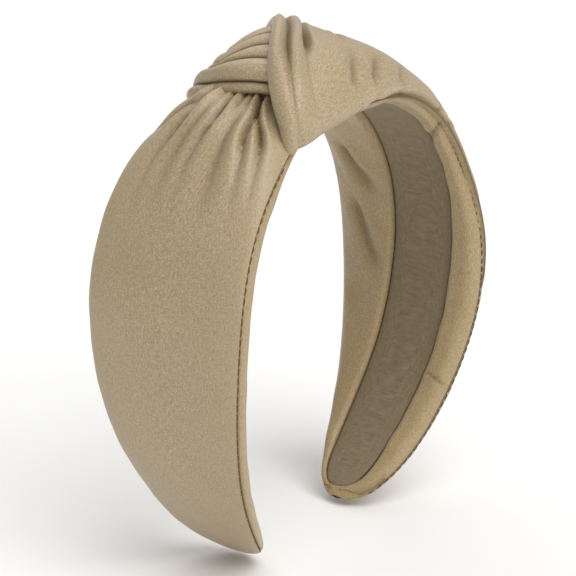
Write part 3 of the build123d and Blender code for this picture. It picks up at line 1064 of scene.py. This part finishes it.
def weave_group() -> bpy.types.NodeTree:
    """Makes, once, fine crossing threads with slubs, read from the cloth's own map in metres."""
    if "woven threads" in bpy.data.node_groups:
        return bpy.data.node_groups["woven threads"]
    tree, given, out = new_group(
        "woven threads", {"Map": (0.0, 0.0, 0.0), "Threads": 2600.0, "Stretch": 0.25},
        {"Height": "Float", "Slubs": "Float", "Sparkle": "Float"})
    parts = tree.nodes.new("ShaderNodeSeparateXYZ")
    tree.links.new(given.outputs["Map"], parts.inputs[0])
    x, y = parts.outputs[0], parts.outputs[1]

    def drawn_out(along: object, across: object, stretch: object) -> bpy.types.NodeSocket:
        """Gives the map drawn out along one way.

        Args:
            along: The socket of the way that is drawn out.
            across: The socket of the other way.
            stretch: How much is kept along it, a socket or a number.

        Returns:
            The drawn-out map.
        """
        joined = tree.nodes.new("ShaderNodeCombineXYZ")
        tree.links.new(math_node(tree, "MULTIPLY", along, stretch), joined.inputs[0])
        tree.links.new(across, joined.inputs[1])
        return joined.outputs[0]

    stretch, threads = given.outputs["Stretch"], given.outputs["Threads"]
    weft = math_node(tree, "MULTIPLY", noise_node(tree, drawn_out(x, y, stretch), threads, 1.0), 0.6)
    warp = math_node(tree, "MULTIPLY", noise_node(tree, drawn_out(y, x, stretch), threads, 1.0), 0.4)
    tree.links.new(math_node(tree, "ADD", weft, warp), out.inputs["Height"])
    tree.links.new(noise_node(tree, drawn_out(x, y, 0.6), 1500.0, 3.0, 0.65), out.inputs["Slubs"])
    # Sparkle marks the specks that take painted glints.
    speck = noise_node(tree, given.outputs["Map"], 2600.0, 0.0, 0.5)
    bright = math_node(tree, "MULTIPLY", math_node(tree, "SUBTRACT", speck, 0.58), 7.0, True)
    tree.links.new(bright, out.inputs["Sparkle"])
    return tree


def cloth_group() -> bpy.types.NodeTree:
    """Makes, once, the colour and gloss of cloth: its tone and patches, with painted glints and painted shade
    in creases.
    """
    if "cloth colour" in bpy.data.node_groups:
        return bpy.data.node_groups["cloth colour"]
    white = (1.0, 1.0, 1.0, 1.0)
    tree, given, out = new_group(
        "cloth colour",
        {"Place": (0.0, 0.0, 0.0), "Height": 0.5, "Slubs": 0.5, "Sparkle": 0.0, "Painted Shade": 0.0, "Light": white,
         "Dark": white, "Glint": white, "Crease": white, "Glints": 0.25, "Patches": 38.0, "Roughness": 0.4},
        {"Colour": "Color", "Gloss": "Float"})
    given = given.outputs
    tone = math_node(tree, "ADD", math_node(tree, "MULTIPLY", given["Slubs"], 0.9),
                     math_node(tree, "MULTIPLY", given["Height"], 0.9))
    tone = math_node(tree, "MULTIPLY", math_node(tree, "SUBTRACT", tone, 0.62), 1.7, True)
    base = mix_colour(tree, tone, given["Dark"], given["Light"])
    patch = noise_node(tree, given["Place"], given["Patches"], 3.0, 0.55)
    soft = math_node(tree, "MULTIPLY", math_node(tree, "SUBTRACT", patch, 0.35), 0.55, True)
    base = mix_colour(tree, soft, base, given["Dark"])
    # Painted glints: specks of brighter colour standing in for light caught by the threads.
    glint = math_node(tree, "MULTIPLY", given["Sparkle"], given["Glints"], True)
    base = mix_colour(tree, glint, base, given["Glint"])
    # Painted shade: the colour darkens towards the crease colour in creases, seams and hollows.
    depth = math_node(tree, "MULTIPLY", given["Painted Shade"], 0.95, True)
    base = mix_colour(tree, depth, base, given["Crease"])
    tree.links.new(base, out.inputs["Colour"])
    rough = math_node(tree, "ADD", math_node(tree, "SUBTRACT", given["Roughness"], 0.12),
                      math_node(tree, "MULTIPLY", given["Slubs"], 0.24))
    tree.links.new(rough, out.inputs["Gloss"])
    return tree


def grain_group() -> bpy.types.NodeTree:
    """Makes, once, the grain of a plain finish, in its colour, gloss and height."""
    if "fine grain" in bpy.data.node_groups:
        return bpy.data.node_groups["fine grain"]
    white = (1.0, 1.0, 1.0, 1.0)
    tree, given, out = new_group(
        "fine grain",
        {"Place": (0.0, 0.0, 0.0), "Grain": 200.0, "Light": white, "Dark": white, "Roughness": 0.5},
        {"Colour": "Color", "Gloss": "Float", "Height": "Float"})
    given = given.outputs
    grain = noise_node(tree, given["Place"], given["Grain"], 4.0, 0.6)
    tree.links.new(mix_colour(tree, grain, given["Dark"], given["Light"]), out.inputs["Colour"])
    rough = math_node(tree, "ADD", math_node(tree, "SUBTRACT", given["Roughness"], 0.1),
                      math_node(tree, "MULTIPLY", grain, 0.2))
    tree.links.new(rough, out.inputs["Gloss"])
    tree.links.new(grain, out.inputs["Height"])
    return tree


def placed_group(tree: bpy.types.NodeTree, group: bpy.types.NodeTree,
                 values: dict[str, object]) -> bpy.types.Node:
    """Places a node group in a material.

    Args:
        tree: The material's tree.
        group: The group to place.
        values: A socket or a value for each of its inputs.

    Returns:
        The group's node.
    """
    node = tree.nodes.new("ShaderNodeGroup")
    node.node_tree = group
    for key, value in values.items():
        if isinstance(value, bpy.types.NodeSocket):
            tree.links.new(value, node.inputs[key])
        else:
            node.inputs[key].default_value = value
    return node


def new_material(name: str) -> tuple[bpy.types.Material, bpy.types.NodeTree, bpy.types.Node, bpy.types.Node]:
    """Starts a material.

    Args:
        name: The material's name.

    Returns:
        The material, its tree, its shader and its coordinates.
    """
    material = bpy.data.materials.new(name)
    material.use_nodes = True
    tree = material.node_tree
    return material, tree, tree.nodes["Principled BSDF"], tree.nodes.new("ShaderNodeTexCoord")


def raise_surface(tree: bpy.types.NodeTree, shader: bpy.types.Node, height: bpy.types.NodeSocket,
                  strength: float, distance: float) -> None:
    """Raises a shader's surface by a height.

    Args:
        tree: The material's tree.
        shader: The shader whose surface is raised.
        height: The height's socket, from 0 to 1.
        strength: Share of the height that shows.
        distance: Full height in metres.
    """
    bump = tree.nodes.new("ShaderNodeBump")
    bump.inputs["Strength"].default_value = strength
    bump.inputs["Distance"].default_value = distance
    tree.links.new(height, bump.inputs["Height"])
    tree.links.new(bump.outputs["Normal"], shader.inputs["Normal"])


@dataclass(frozen=True)
class ClothFinish:
    """A woven cloth with sheen, slow colour changes, painted glints and painted shade in its creases."""

    name: str
    light: Colour
    dark: Colour
    # The colour of the painted shade in creases, seams and hollows.
    crease: Colour
    roughness: float
    sheen: float
    threads: float
    bump: float
    specular: float = 0.4
    glints: float = 0.25
    patches: float = 38.0
    glint_gain: float = 1.45
    sheen_tint: Colour = (1.0, 0.93, 0.80)

    def material(self) -> bpy.types.Material:
        """Makes the finish, or gives the one already made."""
        if self.name in bpy.data.materials:
            return bpy.data.materials[self.name]
        material, tree, shader, place = new_material(self.name)
        # Reads the painted shade strengths that the cloth's shape stored.
        folds = tree.nodes.new("ShaderNodeAttribute")
        folds.attribute_name = "painted_shade"
        weave = placed_group(tree, weave_group(),
                             {"Map": place.outputs["UV"], "Threads": self.threads}).outputs
        # The colour of the painted glints, a brighter copy of the light colour.
        glint = tuple(min(1.0, c * self.glint_gain) for c in self.light)
        cloth = placed_group(tree, cloth_group(), {
            "Place": place.outputs["Object"], "Height": weave["Height"], "Slubs": weave["Slubs"],
            "Sparkle": weave["Sparkle"], "Painted Shade": folds.outputs["Fac"], "Light": (*self.light, 1),
            "Dark": (*self.dark, 1), "Glint": (*glint, 1), "Crease": (*self.crease, 1), "Glints": self.glints,
            "Patches": self.patches, "Roughness": self.roughness}).outputs
        tree.links.new(cloth["Colour"], shader.inputs["Base Color"])
        tree.links.new(cloth["Gloss"], shader.inputs["Roughness"])
        raise_surface(tree, shader, weave["Height"], self.bump, 0.00025)
        shader.inputs["Specular IOR Level"].default_value = self.specular
        shader.inputs["Sheen Weight"].default_value = self.sheen
        shader.inputs["Sheen Roughness"].default_value = 0.35
        shader.inputs["Sheen Tint"].default_value = (*self.sheen_tint, 1)
        return material


@dataclass(frozen=True)
class PlainFinish:
    """A moulded, dried or spun finish with grain in its colour, gloss and surface."""

    name: str
    light: Colour
    dark: Colour
    roughness: float
    grain: float
    bump: float

    def material(self) -> bpy.types.Material:
        """Makes the finish, or gives the one already made."""
        if self.name in bpy.data.materials:
            return bpy.data.materials[self.name]
        material, tree, shader, place = new_material(self.name)
        grain = placed_group(tree, grain_group(), {
            "Place": place.outputs["Object"], "Grain": self.grain, "Light": (*self.light, 1),
            "Dark": (*self.dark, 1), "Roughness": self.roughness}).outputs
        tree.links.new(grain["Colour"], shader.inputs["Base Color"])
        tree.links.new(grain["Gloss"], shader.inputs["Roughness"])
        raise_surface(tree, shader, grain["Height"], self.bump, 0.0002)
        return material


# The third colour of each cloth is its painted shade in creases, seams and hollows.
SATIN = ClothFinish("champagne satin", (0.500, 0.395, 0.245), (0.305, 0.226, 0.126), (0.120, 0.070, 0.020),
                    0.38, 0.25, 2300.0, 0.7, 0.55, 0.45)
# The same satin as the panel's, painted darker and more golden as shade on the inner side of the hoop.
SHADED_SATIN = ClothFinish("champagne satin in painted shade", (0.455, 0.340, 0.185), (0.285, 0.203, 0.098),
                     (0.120, 0.070, 0.018), 0.38, 0.20, 2300.0, 0.7, 0.55, 0.45)
LINING = ClothFinish("taupe lining", (0.285, 0.226, 0.143), (0.170, 0.130, 0.077), (0.080, 0.060, 0.036),
                     0.60, 0.20, 1500.0, 0.6, 0.25, 0.10)
THREAD = PlainFinish("brown thread", (0.105, 0.058, 0.022), (0.050, 0.026, 0.010), 0.7, 2500.0, 0.6)
PLASTIC = PlainFinish("moulded spring plastic", (0.80, 0.79, 0.75), (0.66, 0.65, 0.61), 0.45, 260.0, 0.3)
GLUE = PlainFinish("dried glue", (0.80, 0.70, 0.48), (0.62, 0.50, 0.30), 0.35, 180.0, 0.5)


def dress(piece: bpy.types.Object, finish: ClothFinish | PlainFinish) -> None:
    """Gives a piece its finish.

    Args:
        piece: The piece to dress.
        finish: What it is dressed in.
    """
    piece.data.materials.clear()
    piece.data.materials.append(finish.material())


def report(piece: bpy.types.Object) -> None:
    """Logs a finished piece with its face count."""
    log.info("%s: %d faces", piece.name, len(piece.data.polygons))


# ---- studio --------------------------------------------------------------------------------------
def towards(azimuth: float, elevation: float) -> Vector:
    """Gives a direction.

    Args:
        azimuth: Degrees round, 0 before the front edge and 90 on the left.
        elevation: Degrees above the horizon.

    Returns:
        A vector of length 1.
    """
    a, e = radians(azimuth), radians(elevation)
    return Vector((-sin(a) * cos(e), -cos(a) * cos(e), sin(e)))


@dataclass(frozen=True)
class Lamp:
    """A broad soft light: where it stands and how wide it looks, in degrees, its strength and its colour."""

    name: str
    azimuth: float
    elevation: float
    spread: float
    strength: float
    colour: Colour = (1, 1, 1)

    def hang(self, focus: tuple[float, float, float]) -> None:
        """Hangs the light so that it shines on a point.

        Args:
            focus: The point in metres.
        """
        data = bpy.data.lights.new(self.name, "SUN")
        data.energy, data.angle, data.color = self.strength, radians(self.spread), self.colour
        lamp = bpy.data.objects.new(self.name, data)
        bpy.context.scene.collection.objects.link(lamp)
        away = towards(self.azimuth, self.elevation)
        lamp.location = Vector(focus) + away
        lamp.rotation_euler = away.to_track_quat("Z", "Y").to_euler()


@dataclass
class Studio:
    """Floor, soft lights and camera."""

    focus: tuple[float, float, float]
    azimuth: float = 55.75
    elevation: float = 16.5
    roll: float = 2.2
    distance: float = 0.681
    lens: float = 140.3
    shift: float = -0.0207
    surround: float = 0.34
    floor_size: float = 8.0
    floor_gap: float = 0.0004
    lamps: tuple[Lamp, ...] = (
        Lamp("key", 20, 62, 50, 1.9, (1.0, 0.99, 0.97)),
        Lamp("front", 10, 18, 45, 0.75),
        Lamp("back", 215, 50, 60, 0.8),
    )

    def floor(self) -> None:
        """Lays a wide pale floor."""
        bpy.ops.object.select_all(action="DESELECT")
        bpy.ops.mesh.primitive_plane_add(size=self.floor_size, location=(0, 0, -self.floor_gap))
        floor = bpy.context.active_object
        floor.name = "studio_floor"
        material, tree, shader, place = new_material("pale floor")
        mottle = noise_node(tree, place.outputs["Object"], 3.0)
        tree.links.new(mix_colour(tree, mottle, (0.90, 0.90, 0.895, 1), (0.94, 0.94, 0.935, 1)),
                       shader.inputs["Base Color"])
        shader.inputs["Roughness"].default_value = 0.9
        floor.data.materials.append(material)

    def world(self) -> None:
        """Gives an even surround, seen as plain white."""
        world = bpy.data.worlds.new("white surround")
        world.use_nodes = True
        tree = world.node_tree
        soft, seen = tree.nodes["Background"], tree.nodes.new("ShaderNodeBackground")
        soft.inputs[0].default_value = seen.inputs[0].default_value = (1, 1, 1, 1)
        soft.inputs[1].default_value, seen.inputs[1].default_value = self.surround, 1.0
        mix, path = tree.nodes.new("ShaderNodeMixShader"), tree.nodes.new("ShaderNodeLightPath")
        tree.links.new(path.outputs["Is Camera Ray"], mix.inputs[0])
        tree.links.new(soft.outputs[0], mix.inputs[1])
        tree.links.new(seen.outputs[0], mix.inputs[2])
        tree.links.new(mix.outputs[0], tree.nodes["World Output"].inputs[0])
        bpy.context.scene.world = world

    def camera(self) -> None:
        """Stands the camera to the left of the front edge and a little above."""
        back, r = towards(self.azimuth, self.elevation), radians(self.roll)
        forward = -back
        level = forward.cross(Vector((0, 0, 1))).normalized()
        upright = level.cross(forward)
        right = level * cos(r) + upright * sin(r)
        up = -level * sin(r) + upright * cos(r)
        data = bpy.data.cameras.new("studio camera")
        data.lens, data.sensor_width, data.shift_x = self.lens, 36, self.shift
        data.clip_start, data.clip_end = 0.01, 50
        camera = bpy.data.objects.new("studio_camera", data)
        bpy.context.scene.collection.objects.link(camera)
        camera.matrix_world = Matrix.Translation(Vector(self.focus) + back * self.distance) @ Matrix(
            (right, up, back)).transposed().to_4x4()
        bpy.context.scene.camera = camera

    def build(self) -> None:
        """Sets up the whole studio."""
        self.floor()
        self.world()
        for lamp in self.lamps:
            lamp.hang(self.focus)
        self.camera()
        look = bpy.context.scene.view_settings
        look.view_transform, look.exposure = "Standard", 0.0


# ---- the headband --------------------------------------------------------------------------------
LEFT_TUBE = TubeShape(
    front=((22, 19), (26, 19.5), (37, 20.5), (50, 23.3), (64, 24.84), (92.6, 27), (135.9, 22.41),
           (175.1, 11.4), (182.1, 7.5)),
    back=((22, 20), (26, 20.5), (37, 23), (50, 26.3), (64, 27.61), (92.6, 27.2), (135.9, 20.4), (175.1, 9.4),
          (182.1, 6.0)),
    thick=((22, 9.5), (28, 11.6), (33, 12.6), (40, 12.2), (50, 10.6), (64, 9.2), (92.6, 8.6), (135.9, 8.0),
           (175.1, 5.4), (182.1, 4.4)),
    seam=((22, 2), (37, 2), (50, 4.2), (64, 5.2), (92.6, 5.4), (135.9, 5.0), (175.1, 3.3), (182.1, 2.4)),
    puff=((22, 0.4), (37, -0.6), (64, -1.2), (135.9, -1.2), (168, -0.5), (182.1, 0.4)),
    lift=((22, 0.0), (42, 0.0), (56, 0.02), (80, 0.045), (110, 0.06), (150, 0.07), (182.1, 0.07)),
)
RIGHT_TUBE = TubeShape(
    front=((-26, 24), (-8, 26.5), (9, 26.4), (26, 25.4), (64, 24.84), (92.6, 27), (135.9, 22.41),
           (175.1, 11.4), (182.1, 7.5)),
    back=((-26, 20.5), (-8, 21), (5, 22.5), (16, 25.5), (26, 26.8), (64, 27.61), (92.6, 27.2), (135.9, 20.4),
          (175.1, 9.4), (182.1, 6.0)),
    thick=((-26, 17), (-8, 17), (9, 15.5), (26, 12.6), (44, 9.8), (64, 8.9), (92.6, 8.4), (135.9, 7.81),
           (175.1, 5.4), (182.1, 4.4)),
    seam=((-26, 0.5), (9, 0.4), (26, 0.6), (44, 1.0), (64, 1.6), (80, 2.6), (100, 3.6), (135.9, 3.9),
          (175.1, 2.8), (182.1, 2.4)),
    puff=((-26, -0.6), (-8, -1.8), (9, -1.4), (26, -1.3), (64, -1.6), (135.9, -1.5), (168, -0.6),
          (182.1, 0.4)),
    tuck=((-26, 1.0), (9, 2.0), (26, 2.4), (64, 2.2), (90, 1.2), (110, 0.2), (125, 0.0), (182.1, 0.0)),
)
LEFT_CREASES = (
    Crease(((-27, 7), (-33, 11), (-39, 17), (-46, 27)), 1.2, 1.0, fade_out=0.6),
    Crease(((-27, 7.5), (-32, 9.5), (-37, 11), (-43, 13), (-54, 16), (-76, 18)), 2.4, 1.0, fade_out=0.4),
    Crease(((-27, 1), (-35, 1), (-41, 2), (-50, 3.5), (-72, 3)), 1.7, 0.9, fade_out=0.45),
    Crease(((-27, -2), (-31, -2.5), (-37, -3)), 1.1, 0.8),
    Crease(((-27, -4.5), (-31, -5), (-36, -6.5)), 1.1, 0.7),
    Crease(((-27, -6.5), (-33, -9), (-37, -10), (-42, -10.5), (-50, -13), (-70, -17)), 2.5, 0.8, fade_out=0.4),
    Crease(((-31, -8), (-37, -12), (-41, -15), (-46, -17), (-64, -21)), 2.0, 0.7, fade_out=0.45),
    Crease(((-33, 4.5), (-40, 7), (-52, 9.5), (-70, 10)), 0.7, 1.8, fade_in=0.3, fade_out=0.5),
    Crease(((-34, -6), (-42, -5), (-54, -6), (-70, -8)), 0.8, 1.4, fade_in=0.2, fade_out=0.5),
)
RIGHT_CREASES = (
    Crease(((-5, 4), (-10, -2), (-16, -7), (-22, -12.5), (-28, -19)), 1.2, 0.6, fade_out=0.6),
    Crease(((4, 9), (-1, 3), (-9, -6), (-14, -11.5), (-21, -18)), 1.8, 0.8, fade_out=0.5),
    Crease(((15, 7), (9, 0), (3, -8), (-3, -16)), 1.0, 0.6, 0.25, fade_in=0.2, fade_out=0.45),
    Crease(((-13, -26), (-8, -22), (-2, -17)), 0.8, 1.0, fade_out=0.3),
    Crease(((-4, -26), (2, -22), (8, -19)), 0.9, 1.0, fade_out=0.3),
    Crease(((10, -25.5), (14, -22), (20, -18)), 0.6, 0.9, fade_out=0.3),
    Crease(((38, -26), (35, -21), (34, -15)), 0.7, 0.9, fade_out=0.3),
    Crease(((46, -26), (44, -20), (44, -12)), 0.6, 1.0, fade_out=0.3),
)
FACING_CREASES = (
    Crease(((58, 21), (70, 16), (80, 9)), 1.3, 1.6, fade_in=0.2),
    Crease(((78, 21), (96, 14), (106, 8)), 1.1, 1.8, fade_in=0.2),
    Crease(((134, -14.5), (135.5, -18), (138, -23.5)), 0.8, 0.5, 0.2, fade_in=0.3, fade_out=0.6),
    Crease(((40, -24), (46, -19), (52, -17)), 0.9, 1.0),
)
GUIDE_SHARES = (0.0, 0.08, 0.18, 0.3, 0.42, 0.54, 0.66, 0.8, 0.92, 1.0)
STRAP_GUIDES = (
    (0.0, ((-36, -14, 0.5), (-38.6, -17.3, 3.2), (-36.5, -18, 8), (-32.5, -14.5, 13.5), (-26, -8.5, 17.8),
           (-18, -2.5, 20.6), (-10, 4, 20.6), (-4, 12, 16.5), (-1, 18.5, 9.5), (0, 21, 0.8))),
    (7.5, ((-34, -18.5, 0.2), (-36.4, -21.8, 3.2), (-35.2, -23, 9.5), (-31.5, -21, 15.5), (-25, -15.5, 19.4),
           (-16, -7, 21.4), (-7, 1.5, 21.8), (0, 11, 18), (4, 19, 10), (5, 22, 0.8))),
    (15.0, ((-27, -22.5, -0.3), (-29, -25.4, 3), (-28.6, -25.3, 9), (-25.3, -22.3, 14.5), (-19, -16, 18),
            (-10, -7, 18.8), (-1, 3, 18.8), (6, 13, 16), (10, 20.5, 9), (11, 23.5, 0.7))),
    (27.0, ((-10, -25.5, -0.5), (-11, -27.3, 3), (-10.5, -26, 8.5), (-8, -21.5, 14), (-3, -13.5, 17),
            (2, -4, 17.8), (7, 6, 16.8), (12, 16, 13), (15, 22.5, 7.5), (16, 25.5, 0.7))),
)
STRAP_LOBES = ((3.0, 1.6), (1.7, 0.5), (0.9, 0.0))


def cover_of(hoop: Hoop, side: Side, lining: LiningShape) -> PaddedCover:
    """Gives one side's padded cover; the right one starts as the strap that crosses the knot.

    Args:
        hoop: The curve that it follows.
        side: Its side.
        lining: Sizes of the lining that its groove takes.

    Returns:
        The cover.
    """
    if side is Side.LEFT:
        return PaddedCover(hoop, side, LEFT_TUBE, lining, LEFT_CREASES, FACING_CREASES[:2], start=23.0,
                           facing_start=24.0, first_stitch=44.0)
    return PaddedCover(hoop, side, RIGHT_TUBE, lining, RIGHT_CREASES, FACING_CREASES, start=26.0,
                       facing_start=-25.0, first_stitch=30.0, rows=330, columns=110, guides=STRAP_GUIDES,
                       guide_shares=GUIDE_SHARES, lobes=STRAP_LOBES)


def build_side(hoop: Hoop, side: Side) -> None:
    """Builds and dresses one side's cover, lining, core, glue and stitches, and hangs its tip fold on the leg.

    Args:
        hoop: The curve that they follow.
        side: The side to build.
    """
    lining, word = LiningShape(), side.word
    cover, sleeve = cover_of(hoop, side, lining), LiningSleeve(hoop, side, lining)
    panel, fold, facing, thread = cover.panel(), cover.tip_fold(), cover.facing(), cover.seam_stitches()
    lined, core, glue = sleeve.sleeve(), sleeve.core(), sleeve.glue()
    strap = ("knot_strap",) if side is Side.RIGHT else ()
    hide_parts(f"panel_{word}", f"panel_crown_{word}", f"foam_{word}", f"foam_crown_{word}", *strap)
    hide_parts(f"facing_{word}", f"facing_crown_{word}")
    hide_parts(f"tip_end_{word}")
    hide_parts(f"seam_stitches_{word}", "seam_stitches_crown")
    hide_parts(f"lining_{word}", "lining_crown")
    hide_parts(f"core_{word}", "core_crown")
    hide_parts(f"adhesive_{word}", "adhesive_crown")
    for piece, finish, slot in ((panel, SATIN, "satin"), (facing, SHADED_SATIN, "satin_facing"),
                                (fold, SHADED_SATIN, "satin_facing"), (thread, THREAD, "sewing_thread"),
                                (lined, LINING, "lining_fabric"), (core, PLASTIC, "hoop_plastic"),
                                (glue, GLUE, "dried_glue")):
        dress(piece, finish)
        if piece is fold:
            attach(piece, side.leg)
        else:
            hoop.blend(piece)
        report(piece)


def build_knot(hoop: Hoop) -> None:
    """Builds, dresses and hangs the knot's rolls.

    Args:
        hoop: The curve that they follow.
    """
    bundle = KnotBundle(hoop).rolls()
    dress(bundle, SATIN)
    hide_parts("knot_wrap", "knot_core")
    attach(bundle, "crown")
    report(bundle)


def dress_kept_nodes() -> None:
    """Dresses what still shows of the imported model, the tack stitches, as thread."""
    for name, node in frame["nodes"].items():
        if not node.hide_render:
            node.data.materials.clear()
            node.data.materials.append(THREAD.material())
            log.info("%s kept from the frame", name)


def main() -> None:
    """Builds the headband and its studio."""
    logging.basicConfig(level=logging.INFO, format="%(name)s: %(message)s")
    mount = frame["record"]["mounts"][0]
    hoop = Hoop(crown_radius=float(mount["dims"]["r_mm"]), centre_height=float(mount["pos_m"][2]) / MM)
    for side in Side:
        build_side(hoop, side)
    build_knot(hoop)
    dress_kept_nodes()
    Studio(focus=(0.0, 0.0, hoop.centre_height * MM)).build()


if __name__ == "__main__":
    main()
